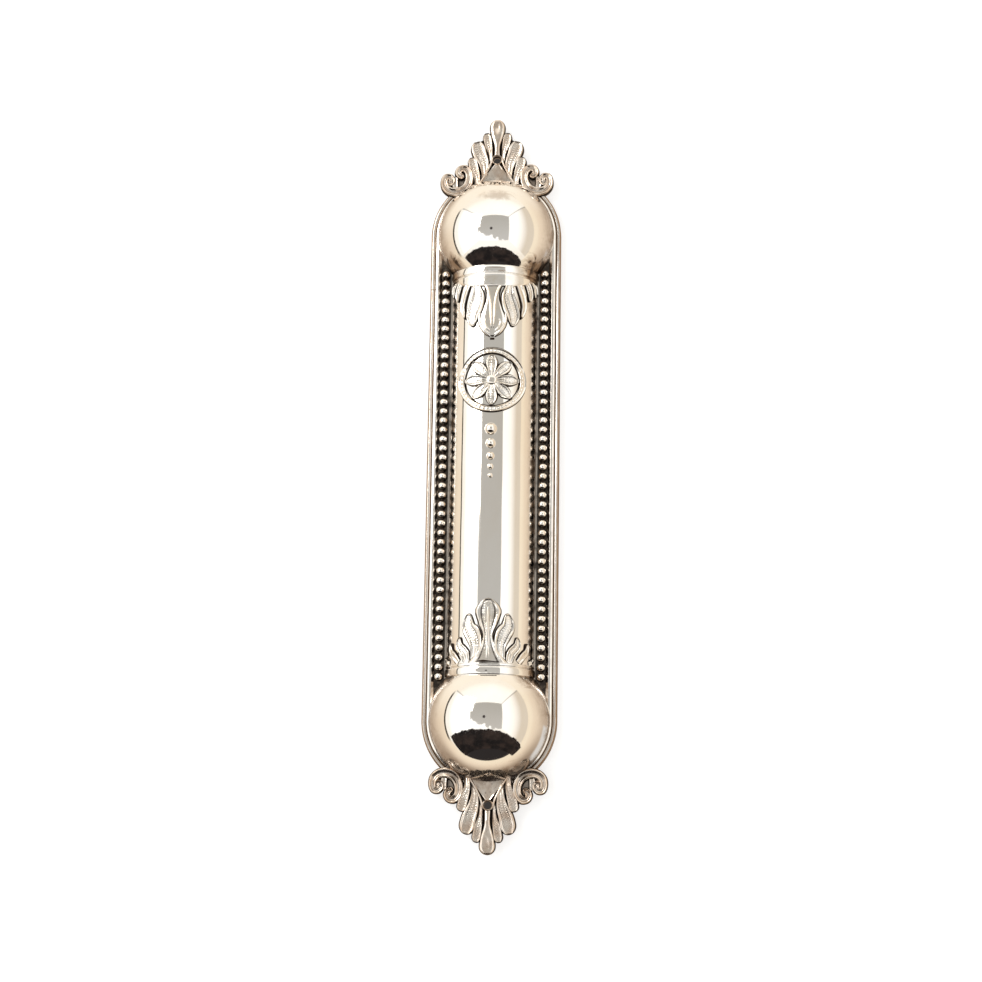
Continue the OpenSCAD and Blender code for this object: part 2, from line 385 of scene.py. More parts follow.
def new_material(name):
    material = bpy.data.materials.new(name)
    material.use_nodes = True
    return material, Graph(material.node_tree)


def surface(graph, colour, roughness, height, depth, metallic=1.0, **sockets):
    """Principled shader with a bump of the given depth, in metres."""
    normal = graph.add("Bump", {"Height": height, "Distance": depth, "Strength": 1.0})
    inputs = {"Base Color": colour, "Roughness": roughness, "Normal": normal, "Metallic": metallic}
    inputs.update({key.replace("_", " "): value for key, value in sockets.items()})
    shader = graph.add("BsdfPrincipled", inputs)
    graph.add("OutputMaterial", {0: shader}, output=None)


SILVER = rgb(0.93, 0.905, 0.87)
WARM_SILVER = rgb(0.88, 0.81, 0.72)
TARNISH = rgb(0.34, 0.235, 0.155)
OXIDE = rgb(0.036, 0.025, 0.019)


def scratches(graph):
    """Fine wipe marks in two directions, as a height."""
    first = graph.noise(900, 2, stretch=(1.0, 1.0, 0.06))
    second = graph.noise(700, 2, stretch=(0.08, 0.3, 1.0))
    return graph.plus(first, second)


def polished_silver(name, tarnish=0.5, reach=10.5, base_rough=0.035, marks=()):
    """Mirror-polished silver, tarnished towards its foot, and tarnish-coloured where the shine attribute is
    low, which on the rim is painted shade.

    reach is how far above the wall the foot's tarnish starts, in millimetres. Each mark is a
    stain, streaked with black where it is strong: its centre, its size and its strength."""
    material, g = new_material(name)
    place = g.place()
    y = g.axes(place)[1]
    foot = g.step(y, -reach * MM, -plate_front * MM)
    cloud = g.step(g.noise(230, 5, 0.66, distortion=0.8), 0.4, 0.66)
    smear = g.step(g.noise(60, 4, 0.6, stretch=(1.0, 1.0, 0.45)), 0.38, 0.7)
    mottle = g.plus(g.times(cloud, 0.75), 0.25)
    stain = g.times(g.times(mottle, foot), tarnish, clamp=True)
    shine = g.add("Attribute", output=2, attribute_name="shine")
    grain = g.times(g.minus(cloud, 0.5), 0.2)
    # Low shine takes the tarnish colour; on the rim that is painted shade
    stain = g.most(stain, g.fall(g.plus(shine, grain), 0.05, 0.95))
    heavy = g.times(stain, 0.3)
    for centre, size, strength in marks:
        offset = g.add("VectorMath", {0: place, 1: Vector(centre) * MM}, operation="SUBTRACT")
        scaled = g.add("VectorMath", {0: offset, 1: [1 / (MM * n) for n in size]}, operation="MULTIPLY")
        distance = g.add("VectorMath", {0: scaled}, output=1, operation="LENGTH")
        ragged = g.plus(distance, g.times(g.minus(cloud, 0.5), 0.5))
        mark = g.step(ragged, 0.35, 1.2, strength, 0.0)
        stain = g.most(stain, mark)
        heavy = g.most(heavy, mark)
    colour = g.mix(stain, g.mix(g.times(smear, 0.6), SILVER, WARM_SILVER), TARNISH)
    streak = g.step(g.noise(420, 4, 0.6, stretch=(1.0, 1.0, 0.45), distortion=0.6), 0.46, 0.6)
    soot = g.times(streak, g.step(heavy, 0.45, 0.85, 0.0, 0.9))
    colour = g.mix(soot, colour, OXIDE)
    haze = g.times(g.noise(240, 4, 0.6), 0.05)
    roughness = g.plus(g.plus(haze, base_rough), g.times(stain, 0.32))
    surface(g, colour, roughness, scratches(g), 0.0000012)
    return material


def relief_silver(name, polish=1.0, clean=SILVER[:3], tint=(0.88, 0.81, 0.72), satin=0.1):
    """Cast or stamped silver: bright where the shine attribute is high, dark below, which is oxide in the
    reliefs' hollows and painted shade on the beads' lower sides.

    clean and tint are the colours of its cleanest and of its warmest patches, and satin is
    the roughness where it is bright. A higher polish brightens more of it."""
    material, g = new_material(name)
    shine = g.add("Attribute", output=2, attribute_name="shine")
    grain = g.times(g.minus(g.noise(1500, 3), 0.5), 0.35)
    bright = g.step(g.plus(shine, grain), 0.1, 0.62 / polish)
    # The backs of the castings aren't oxidised
    y = g.axes(g.place())[1]
    behind = g.step(y, -(plate_back + 0.5) * MM, -(plate_back + 0.3) * MM, 0.0, 0.8)
    bright = g.most(bright, behind)
    warm = g.step(g.noise(330, 4), 0.3, 0.7)
    colour = g.mix(bright, OXIDE, g.mix(warm, rgb(*clean), rgb(*tint)))
    roughness = g.add("MapRange", {0: bright, 3: 0.42, 4: satin})
    surface(g, colour, roughness, g.noise(2600, 3), 0.000006)
    return material


def plate_silver(name):
    """Oxidised front of the back plate with a painted highlight along the tube's foot, and clean sheet
    behind.
    """
    material, g = new_material(name)
    x, y = g.axes(g.place())[:2]
    behind = g.step(y, -(plate_front - 0.1) * MM, -(plate_front - 0.3) * MM)
    patch = g.step(g.noise(700, 5, 0.65), 0.45, 0.75)
    dark = g.mix(patch, rgb(0.06, 0.05, 0.043), rgb(0.20, 0.165, 0.13))
    # Painted highlight: a narrow bright broken line along the tube's foot, standing in for a lit edge there
    from_foot = g.math("ABSOLUTE", g.minus(g.math("ABSOLUTE", x), tube_r * MM))
    broken = g.step(g.noise(300, 3), 0.25, 0.5)
    foot_highlight = g.times(g.step(from_foot, 0.14 * MM, 0.28 * MM, 0.8, 0.0), broken)
    dark = g.mix(foot_highlight, dark, rgb(0.66, 0.6, 0.54))
    sheet = g.mix(g.noise(90, 5, 0.6), WARM_SILVER, SILVER)
    roughness = g.plus(g.times(patch, 0.16), 0.22)
    surface(g, g.mix(behind, dark, sheet), roughness, scratches(g), 0.000003)
    return material


def sheet_silver(name):
    """Brushed sheet with marks along the way that the cover slides."""
    material, g = new_material(name)
    brush = g.noise(2600, 3, 0.7, stretch=(1.0, 1.0, 0.012))
    rub = g.step(g.noise(300, 2, stretch=(1.0, 1.0, 0.03)), 0.56, 0.66)
    smear = g.noise(55, 4)
    colour = g.mix(smear, rgb(0.80, 0.76, 0.71), rgb(0.90, 0.87, 0.83))
    roughness = g.minus(g.times(brush, 0.2), g.times(rub, 0.06))
    roughness = g.plus(roughness, 0.16)
    surface(g, colour, roughness, brush, 0.000004)
    return material


def parchment_skin(name):
    """Cream parchment with faint mottling and pores."""
    material, g = new_material(name)
    cloud = g.step(g.noise(140, 6, 0.65), 0.3, 0.75)
    pores = g.step(g.noise(2400, 2), 0.6, 0.72)
    colour = g.mix(cloud, rgb(0.78, 0.66, 0.46), rgb(0.88, 0.80, 0.63))
    colour = g.mix(g.times(pores, 0.35), colour, rgb(0.55, 0.43, 0.28))
    roughness = g.plus(g.times(cloud, 0.1), 0.6)
    surface(g, colour, roughness, g.noise(1500, 4), 0.00004, metallic=0.0)
    return material


def clear_film(name):
    """Thin clear film with faint creases."""
    material, g = new_material(name)
    crease = g.noise(260, 3, stretch=(1.0, 1.0, 0.4))
    colour = g.mix(g.noise(80, 2), rgb(0.93, 0.95, 0.95), rgb(0.97, 0.98, 0.98))
    roughness = g.plus(g.times(crease, 0.1), 0.06)
    surface(g, colour, roughness, crease, 0.00004, metallic=0.0, Transmission_Weight=1.0, IOR=1.45)
    return material


dome_silver = polished_silver("dome_silver", 0.95, marks=[
    ((1.0, -12.9, 67.5), (4.2, 3.0, 1.5), 0.45),
    ((-10.5, -4.0, 51.0), (4.5, 6.0, 4.0), 0.95),
    ((10.5, -4.0, 51.0), (4.5, 6.0, 4.5), 1.0),
    ((-10.0, -4.0, -51.0), (4.0, 5.0, 3.0), 0.85),
    ((10.0, -4.0, -51.0), (4.5, 6.0, 3.5), 0.95),
    ((-9.0, -4.0, -71.5), (7.0, 5.0, 2.5), 0.6),
    ((8.0, -4.5, -72.0), (7.0, 5.0, 2.5), 0.7),
])
tube_silver = polished_silver("tube_silver", 1.7, 7.0, marks=[
    ((9.5, -4.0, 44.0), (2.5, 4.0, 9.0), 0.6),
    ((-9.5, -3.5, 44.0), (2.0, 3.0, 6.0), 0.6),
    ((-9.5, -3.0, -40.0), (2.0, 3.0, 9.0), 0.5),
])
collar_silver = polished_silver("collar_silver", 0.95, marks=[
    ((9.6, -4.5, 49.0), (3.0, 5.5, 3.0), 1.0),
    ((-10.2, -3.5, 49.0), (2.4, 4.5, 3.0), 1.0),
    ((10.4, -3.0, -49.0), (2.0, 4.0, 3.0), 1.0),
    ((-10.8, -2.5, -49.0), (1.2, 3.0, 3.0), 0.9),
    ((0.6, -11.0, 49.5), (2.4, 2.0, 0.2), 0.5),
    ((-1.5, -11.0, 48.8), (0.3, 2.0, 0.2), 0.8),
    ((2.0, -11.0, 48.7), (1.0, 2.0, 0.2), 0.75),
])
rim_silver = polished_silver("rim_silver", 0.3, base_rough=0.06, marks=[
    ((0.0, -2.0, 75.0), (17.0, 9.0, 8.0), 0.55),
    ((0.0, -2.0, -75.5), (16.0, 9.0, 7.0), 0.5),
    ((-15.2, -2.5, 46.5), (2.4, 3.0, 0.16), 1.0),
    ((-13.9, -2.7, 46.9), (1.2, 3.0, 0.13), 1.0),
])
leaf_silver = relief_silver("leaf_silver", 1.1)
finial_silver = relief_silver("finial_silver", 0.85, (0.86, 0.79, 0.71), (0.68, 0.54, 0.43), 0.17)
bead_silver = relief_silver("bead_silver", 1.1)
oxidised_plate = plate_silver("oxidised_plate")
brushed_sheet = sheet_silver("brushed_sheet")
parchment = parchment_skin("parchment")
film = clear_film("film")


# ---------------------------------------------------------------- tube, domes, collars
def half_shell(outer, inner, columns=140):
    """Shell of revolution about Z, cut off at the plate. outer and inner are (radius, z) rows."""

    def swept(profile):
        radius, z = profile[:, :1], profile[:, 1:]
        limit = np.arccos(np.clip(plate_front / radius, -1, 1))
        turn = limit * np.linspace(-1, 1, columns)[None, :]
        return np.stack([radius * np.sin(turn), -radius * np.cos(turn), z + 0 * turn], -1)

    return slab(swept(outer), swept(inner), 1.0)


def dome_profile(radius, rows=110):
    """Meridian of a dome, from the seam with the tube to the plate at the far end."""
    first = math.asin((seam_z - end_z) / radius)
    last = math.acos(plate_front / radius)
    turn = last - (last - first) * (1 - np.linspace(0, 1, rows)) ** 1.7
    return np.column_stack([radius * np.cos(turn), end_z + radius * np.sin(turn)])


def flipped(part, end):
    """Turns a part half a turn about Y when end is -1."""
    points, quads, shine = part
    return points * np.array([end, 1, end]), quads, shine


dome_part = half_shell(dome_profile(dome_r), dome_profile(dome_r - DOME_WALL))
for end, name in ((1, "upper_dome"), (-1, "lower_dome")):
    make_piece(name + "_skin", [flipped(dome_part, end)], dome_silver, "case", "polished_silver",
               name, wobble=0.02)

tube_rows = np.linspace(-seam_z, seam_z, 160)
tube_part = half_shell(
    np.column_stack([np.full_like(tube_rows, tube_r), tube_rows]),
    np.column_stack([np.full_like(tube_rows, tube_r - TUBE_WALL), tube_rows]),
)
make_piece("tube_skin", [tube_part], tube_silver, "case", "polished_silver", "tube_shell", wobble=0.03)


def collar_profile():
    """Outer line of a collar as (radius, z): a broad soft band, a groove and a narrow lip."""
    band = -collar_low.y
    lip, groove = band - 0.2, band - 0.33
    line = [
        (tube_r + 0.02, 0), (lip - 0.12, 0), (lip - 0.03, 0.1), (lip, 0.32), (lip - 0.03, 0.54),
        (groove + 0.04, 0.66), (groove, 0.72), (groove, 0.82), (groove + 0.1, 0.9), (band - 0.09, 0.98),
        (band - 0.02, 1.25), (band, 1.75), (band - 0.03, 2.3), (band - 0.1, 2.62), (band - 0.25, 2.8),
    ]
    smooth = curve_through(line, 110)
    smooth[:, 0] = np.minimum(smooth[:, 0], band)
    return np.column_stack([smooth[:, 0], collar_low.z + smooth[:, 1]])


collar_line = collar_profile()
collar_inner = np.column_stack([np.full(len(collar_line), tube_r), collar_line[:, 1]])
collar_part = half_shell(collar_line, collar_inner)
for end, name in ((1, "upper_collar"), (-1, "lower_collar")):
    make_piece(name + "_band", [flipped(collar_part, end)], collar_silver, "case", "polished_silver",
               name, wobble=0.02)


# ---------------------------------------------------------------- rim and bead strips
def stadium_path(corner_steps=120, side_steps=60):
    """Points round the case as (outward x, outward z, centre z)."""
    turn = np.linspace(0, np.pi, corner_steps)
    side = np.linspace(1, -1, side_steps)[1:-1] * end_z
    top = np.column_stack([np.cos(turn), np.sin(turn), np.full_like(turn, end_z)])
    left = np.column_stack([np.full_like(side, -1), np.zeros_like(side), side])
    bottom = np.column_stack([-np.cos(turn), -np.sin(turn), np.full_like(turn, -end_z)])
    right = np.column_stack([np.full_like(side, 1), np.zeros_like(side), -side])
    return np.vstack([top, left, bottom, right])


def rim_profile():
    """Closed section of the rim: radius, height above the wall and shine of each point, whose low values on
    the half-round's sides, below the step and down the slope are painted shade.
    """
    round_r = 0.6
    round_h = rim_h - 1
    step_r = flange_r - 2 * round_r - 0.05
    slope_r = step_r - 0.95
    channel_r = slope_r - 0.65
    leg_r = flange_r - LEG_W
    outer = rim_h - 0.25
    # Painted shade: the half-round is bright on its crown and painted dark down its sides
    turn = np.linspace(-0.15, np.pi - 0.1, 18)
    half_round = np.column_stack([
        flange_r - round_r + round_r * np.cos(turn), round_h + round_r * np.sin(turn),
        np.interp(turn, [0, 1.05, 1.45, 1.85, 2.2, 3.1], [0, 0.1, 0.8, 0.95, 0.25, 0.1])])
    # Painted shade: the corner below the step and the slope into the channel are painted darker
    step = [
        (step_r + 0.02, round_h + 0.05, 0.1), (step_r, round_h + 0.2, 0.2), (step_r, outer - 0.14, 0.6),
        (step_r - 0.05, outer - 0.05, 0.9), (step_r - 0.16, outer + 0.03, 1),
        (step_r - 0.45, outer + 0.12, 1),
    ]
    slope = [
        (slope_r + 0.12, rim_h - 0.03, 1), (slope_r + 0.03, rim_h - 0.06, 0.8),
        (slope_r - 0.04, rim_h - 0.13, 0.8), (channel_r + 0.2, plate_front + 0.26, 0.75),
        (channel_r + 0.03, plate_front + 0.06, 0.5), (channel_r, plate_front, 0.3),
    ]
    leg = [
        (leg_r, plate_front, 0.3), (leg_r, 0.1, 0.5), (leg_r + 0.1, 0, 0.6), (flange_r - 0.12, 0, 0.6),
        (flange_r - 0.03, 0.03, 0.6), (flange_r, 0.12, 0.4), (flange_r, round_h - 0.3, 0.1),
    ]
    return np.vstack([half_round, step, slope, leg])


def swept_rim():
    """The rim's section carried once round the case."""
    path, section = stadium_path(), rim_profile()
    radius, height = section[None, :, 0], section[None, :, 1]
    points = np.stack([
        path[:, :1] * radius, -height + 0 * path[:, :1], path[:, 2:] + path[:, 1:2] * radius], -1)
    rows, columns = points.shape[:2]
    quads = grid_faces(rows, columns, 0, wrap_rows=True, wrap_columns=True)
    return points.reshape(-1, 3), quads, np.tile(section[:, 2], rows)


rim = make_piece("rim", [swept_rim()], rim_silver, "case", "polished_silver", "rim_moulding")


def cut_cover_slot(piece):
    """Opens the slot in the rim's top end that the cover slides out through.

    It is as wide as the rails stand apart, and their lips reach lip_reach further in."""
    lip_reach = 1
    half = rail_low.x + lip_reach
    work = bmesh.new()
    bmesh.ops.create_cube(work, size=1)
    low, high = Vector((-half, -plate_back, end_z)), Vector((half, 1, end_z + 2 * flange_r))
    size = high - low
    bmesh.ops.transform(work, verts=work.verts, matrix=Matrix.Translation((low + high) / 2 * MM)
                        @ Matrix.Diagonal((size.x * MM, size.y * MM, size.z * MM, 1)))
    mesh = bpy.data.meshes.new("slot_cutter")
    work.to_mesh(mesh)
    work.free()
    cutter = bpy.data.objects.new("slot_cutter", mesh)
    scene.collection.objects.link(cutter)
    modifier = piece.modifiers.new("slot", "BOOLEAN")
    modifier.object = cutter
    modifier.operation = "DIFFERENCE"
    modifier.solver = "EXACT"
    bpy.context.view_layer.update()
    cut = bpy.data.meshes.new_from_object(piece.evaluated_get(bpy.context.evaluated_depsgraph_get()))
    piece.modifiers.clear()
    piece.data = cut
    bpy.data.objects.remove(cutter)


cut_cover_slot(rim)


def lathe(profile, columns=28):
    """Closed turned part about Z from (radius, z) rows that start and end at radius 0."""
    turn = np.linspace(0, 2 * np.pi, columns, endpoint=False)[None, :]
    radius, z = profile[:, :1], profile[:, 1:2]
    points = np.stack([radius * np.cos(turn), radius * np.sin(turn), z + 0 * turn], -1)
    return points.reshape(-1, 3), grid_faces(len(profile), columns, 0, wrap_columns=True)


bead_r = (bead_high.x - bead_low.x) / 2
bead_pitch = (bead_high.z - bead_low.z - 2 * bead_r) / (BEAD_COUNT - 1)
bead_axis = Vector(((bead_low.x + bead_high.x) / 2, bead_low.y + bead_r, 0))


def bead_wire():
    """Row of beads that narrow to dark, oxidised necks. Their fronts and tops are painted bright as a
    painted highlight, and their lower sides dark as painted shade.
    """
    turn = np.linspace(-np.pi / 2, np.pi / 2, 19)
    neck = 0.34 * bead_r
    rows = [[0, bead_low.z + 0.02]]
    for i in range(BEAD_COUNT):
        centre = bead_low.z + bead_r + i * bead_pitch
        size = bead_r * (1 + 0.015 * math.sin(2.4 * i))
        rows += [[max(size * math.cos(t), neck), centre + size * math.sin(t)] for t in turn]
    rows.append([0, bead_high.z - 0.02])
    points, quads = lathe(np.array(rows))
    nearest = np.round((points[:, 2] - bead_low.z - bead_r) / bead_pitch).clip(0, BEAD_COUNT - 1)
    up = points[:, 2] - bead_low.z - bead_r - nearest * bead_pitch
    # Painted highlight and shade: shine follows how far each point faces forward and up
    lean = math.radians(35)
    facing = (up * math.sin(lean) - points[:, 1] * math.cos(lean)) / bead_r
    bulge = np.hypot(points[:, 0], points[:, 1]) / bead_r
    shine = np.clip((facing - 0.06) / 0.28, 0, 1) * np.clip((bulge - 0.4) / 0.25, 0, 1)
    return points + np.array([bead_axis.x, bead_axis.y, 0]), quads, shine


wire_part = bead_wire()
for side, name in ((1, "right_bead_strip"), (-1, "left_bead_strip")):
    points, quads, shine = wire_part
    make_piece(name.replace("strip", "wire"), [(points * np.array([side, 1, 1]), quads, shine)],
               bead_silver, "case", "polished_silver", name, auto=60)


# ---------------------------------------------------------------- finials
def finial_parts(end, tip_z, squat):
    """Every lobe of one finial, on a dark web with the nail hole. squat shortens its side lobes."""
    root_z = tip_z - LOBES_LEN
    foot = hole_z - root_z
    club = leaf([(0, foot + 1.0), (0, 4.6), (0, 7.8), (0, LOBES_LEN)], [1.7, 1.8, 3.7, 4.2],
                FIELD, LOBE_TOP, "club", close=2.1, root=0.7)
    petal = leaf([(1.55, -0.9), (1.65, 2.4 * squat), (2.2, 5.3 * squat), (2.75, 8.8 * squat)],
                 [1.0, 1.4, 2.3, 2.6], FIELD, LOBE_TOP - 0.2, "shell", close=1.6, root=0.7)
    feather = leaf([(3.5, -5.6), (3.1, -2.6), (3.4, 0.2), (4.4, 3.1 * squat**2), (5.2, 6.9 * squat**2)],
                   [1.4, 2.0, 3.1, 4.0, 4.2], FIELD, LOBE_TOP - 0.1, "shell", rows=120, columns=57,
                   close=2.4, root=0.6)
    side_lobe = leaf([(5.0, -6.6), (4.9, -4.2), (5.6, -1.9), (6.4, 1.6)], [1.6, 1.9, 2.7, 2.7], FIELD,
                     LOBE_TOP - 0.1, "shell", close=1.3, root=0.6)
    scroll = leaf(
        [(12.3, -4.6), (11.7, -5.1), (11.3, -4.4), (11.8, -3.5), (12.8, -3.6), (13.2, -4.8),
         (12.9, -6.2), (11.8, -7.2), (10.2, -7.5), (8.5, -7.0), (7.4, -5.8), (6.9, -4.2),
         (7.1, -2.5), (8.0, -1.4), (9.2, -1.5), (9.7, -2.5), (9.1, -3.3), (8.5, -2.9)],
        [1.8, 1.9, 2.0, 1.9, 2.0, 2.1, 2.3, 2.5, 2.7, 2.8, 2.7, 2.5, 2.4, 2.3, 2.1, 2.0, 2.0, 1.9],
        FIELD, LOBE_TOP, "ribbon", rows=260, columns=25, close=0.7, root=0.8)
    sprig = leaf([(10.2, -7.0), (10.5, -5.4), (10.4, -3.4)], [1.6, 1.9, 1.7], FIELD, LOBE_TOP - 0.35,
                 "shell", rows=40, columns=17, close=0.7, root=0.5)
    ridge = leaf([(1.3, foot + 0.2), (1.7, foot - 1.4), (2.9, foot - 3.8), (4.8, foot - 7.2)],
                 [0.7, 0.75, 0.8, 0.7], FIELD + 0.4, LOBE_TOP, "cord", rows=60, columns=13,
                 close=0.3, root=0.9)
    grids = [club] + both_sides([petal, feather, side_lobe, scroll, sprig, ridge])
    # Each lobe's back is a little further in than the last, so that no two lie in one plane
    parts = []
    for i, one in enumerate(grids):
        parts.append(on_plate(one, end, root_z, finial_back + 0.04 + 0.015 * i))
    return parts + [web(end), panel(end)]


def web(end):
    """Dark plate under the lobes, laid out in rays about the nail hole."""
    knots = [
        (0, 8.6), (11, 8.0), (22, 6.7), (33, 6.6), (48, 6.9), (64, 5.9), (78, 5.6), (90, 6.0),
        (100, 6.9), (106, 9.0), (112, 11.6), (118, 12.8), (124, 12.7), (132, 11.0), (140, 9.2),
        (155, 7.4), (180, 6.6),
    ]
    angles, reach = np.array(knots, float).T
    turn = np.radians(np.linspace(-180, 180, 181)[:-1])
    limit = np.interp(np.degrees(np.abs(turn)), angles, reach)
    steps = np.concatenate([np.linspace(0, 0.12, 14), np.linspace(0.15, 1, 14)])
    radius = hole_r + (limit[:, None] - hole_r) * steps[None, :]
    # A raised ring round the hole, and a field that sinks towards the scrolls
    level = FIELD + (LOBE_TOP - FIELD) * bump(radius, hole_r + 0.36, 0.26)
    level = level - 0.35 * np.clip((radius - 6) / 6, 0, 1)
    x, z = end * radius * np.sin(turn)[:, None], end * (hole_z + radius * np.cos(turn)[:, None])
    front = np.stack([x, -level, z], -1)
    back = np.stack([x, np.full_like(x, -finial_back - 0.01), z], -1)
    shine = bump(radius, hole_r + 0.42, 0.24) + 0.36 * np.clip((radius - 6.5) / 2, 0, 1)
    return slab(front, back, shine, wrap_rows=True)


def panel(end):
    """Plain three-cornered field between the nail hole and the dome."""
    s = np.linspace(0, 1, 40)[:, None]
    t = np.linspace(-1, 1, 30)[None, :]
    across = t * (0.5 + 4.1 * s)
    along = -1.15 - 5.6 * s + 0 * t
    height = rim_h + 0.16 - 0.1 * np.cos(t * 1.5) + 0.05 * np.sin(9 * s) * np.cos(5 * t)
    shine = 0.8 - 0.45 * s**2 + 0 * height
    return on_plate((across, along, height, shine), end, hole_z, finial_back + 0.025)


for end, name in ((1, "top_finial"), (-1, "bottom_finial")):
    low, high = box_mm(name)
    tip_z = high.z if end > 0 else -low.z
    make_piece(name + "_casting", finial_parts(end, tip_z, 0.92 if end > 0 else 1), finial_silver, "case",
               "cast_silver", name, auto=50)


# ---------------------------------------------------------------- ornaments on the tube
def tube_leaf(spine, widths, high=RELIEF, style="leaf", **more):
    """Leaf on the tube, over a thin dark line that runs round its outline."""
    more.setdefault("close", 3.0)
    halo = dict(more, rows=50, columns=9, root=1.0)
    around = leaf(spine, [w + 0.32 for w in widths], HALO_H, HALO_H, "halo", **halo)
    return [around, leaf(spine, widths, LEVEL, high, style, **more)]


def apron():
    """Plain bowed apron that the upper wreath hangs from."""
    t = np.linspace(-1, 1, 90)[:, None]
    s = np.linspace(0, 1, 24)[None, :]
    across = 9.6 * t + 0 * s
    depth = 0.5 + 2.4 * np.sqrt(1 - 0.98 * t**2)
    along = s * depth
    height = 0.5 * np.sqrt(np.clip(1 - s**8, 0, 1)) + 0 * t
    return across, along, height, np.ones_like(height)


def upper_wreath_parts():
    """Calyx between hooked stems, with four leaves and a thorn on each side."""
    bell = tube_leaf([(0, 0.4), (0, 5.0), (0, 8.2), (0, 11.2), (0, 13.6), (0, 15.5)],
                     [5.6, 3.2, 4.6, 6.7, 5.2, 2.4], 0.3, "club", rows=110, columns=51)
    stem = tube_leaf([(2.5, 1.4), (1.35, 3.4), (0.62, 6.6), (0.42, 10.0), (0.25, 13.4)],
                     [0.85, 0.8, 0.7, 0.62, 0.45], RELIEF, "cord", columns=17)
    hook = tube_leaf([(0.3, 15.1), (1.7, 14.2), (2.8, 12.6), (3.2, 10.9), (2.9, 9.2)],
                     [1.0, 1.0, 0.95, 0.8, 0.6], RELIEF, "cord", columns=17)
    curl = tube_leaf([(0.5, 14.1), (1.4, 13.2), (1.9, 11.9), (1.5, 10.9)], [0.6, 0.7, 0.65, 0.5],
                     RELIEF - 0.1, "cord", rows=50, columns=15, close=0.6)
    big = tube_leaf([(4.6, 0.8), (4.0, 2.9), (3.7, 5.2), (4.4, 7.7), (5.1, 10.0), (4.9, 12.8)],
                    [1.6, 2.2, 3.5, 4.2, 3.6, 2.4], RELIEF, "leaf", rows=130, columns=61)
    outer = tube_leaf([(6.0, 0.6), (6.9, 2.8), (7.8, 5.2), (8.1, 7.6), (7.1, 10.6)],
                      [1.6, 2.0, 2.1, 1.8, 1.1], RELIEF - 0.05, "ribbon", rows=100, columns=31)
    third = tube_leaf([(8.6, 0.5), (9.6, 2.0), (10.2, 3.7), (9.9, 5.6)], [1.5, 2.0, 1.9, 1.3],
                      RELIEF - 0.08, "leaf", columns=35, close=1.8)
    fourth = tube_leaf([(11.2, 0.4), (12.0, 1.8), (12.2, 4.2)], [1.3, 1.5, 1.0], RELIEF - 0.15,
                       "ribbon", rows=60, columns=25, close=1.5)
    thorn = tube_leaf([(12.9, 0.3), (13.4, 1.3), (13.6, 2.9)], [1.0, 0.9, 0.6], RELIEF - 0.1,
                      "cord", rows=40, columns=15, close=1.0)
    leaves = stem + hook + curl + big + outer + third + fourth + thorn
    # Thin dark bar at the calyx's tip
    gap = leaf([(-0.55, 16.0), (0.55, 16.0)], [0.55, 0.55], HALO_H, HALO_H, "halo",
               rows=14, columns=7, close=0.2)
    grids = [apron(), gap] + bell + both_sides(leaves)
    return [on_tube(one, 1, wreath_z) for one in grids]


def lower_wreath_parts():
    """Tall palmette with three leaves and a thorn on each side."""
    palmette = tube_leaf(
        [(0, 0.1), (0, 1.6), (0, 4.0), (0, 6.6), (0, 9.2), (0, 11.8), (0, 13.6), (0, 15.4)],
        [9.6, 6.6, 3.5, 2.4, 4.4, 6.1, 5.4, 3.6], RELIEF, "leaf", rows=150, columns=71, root=0.5)
    midrib = tube_leaf([(0, 2.2), (0, 6.0), (0, 10.0), (0, 13.6)], [1.7, 1.0, 0.8, 0.6], RELIEF, "cord",
                       columns=21)
    first = tube_leaf([(3.3, 1.2), (2.9, 4.0), (3.6, 6.6), (4.8, 8.8), (4.5, 11.8)],
                      [1.7, 2.9, 4.0, 3.5, 2.2], RELIEF, "leaf", rows=120, columns=57)
    second = tube_leaf([(5.2, 0.4), (5.7, 2.4), (7.2, 4.2), (7.1, 6.3)], [1.8, 2.4, 2.2, 1.2],
                       RELIEF - 0.05, "leaf", rows=90, columns=41, close=2.2)
    third = tube_leaf([(7.7, 0.3), (8.8, 1.7), (10.2, 3.2), (10.2, 5.1)], [1.7, 2.0, 1.7, 1.0],
                      RELIEF - 0.08, "ribbon", rows=80, columns=31, close=1.8)
    thorn = tube_leaf([(11.3, 0.3), (12.6, 0.8), (13.6, 1.9)], [1.2, 1.1, 0.7], RELIEF - 0.1, "cord",
                      rows=40, columns=15, close=1.0)
    # Thin dark line across the palmette's foot
    gap = leaf([(-2.6, 0.2), (-0.6, 0.28), (1.0, 0.35), (2.2, 0.25)], [0.15, 0.25, 0.5, 0.25],
               RELIEF, RELIEF, "halo", rows=40, columns=9, close=0.5, root=1.0)
    grids = palmette + midrib + [gap] + both_sides(first + second + third + thorn)
    return [on_tube(one, -1, wreath_z) for one in grids]


make_piece("upper_wreath", upper_wreath_parts(), leaf_silver, "case", "cast_silver",
           "upper_leaf_wreath", auto=50)
make_piece("lower_wreath", lower_wreath_parts(), leaf_silver, "case", "cast_silver",
           "lower_leaf_wreath", auto=50)


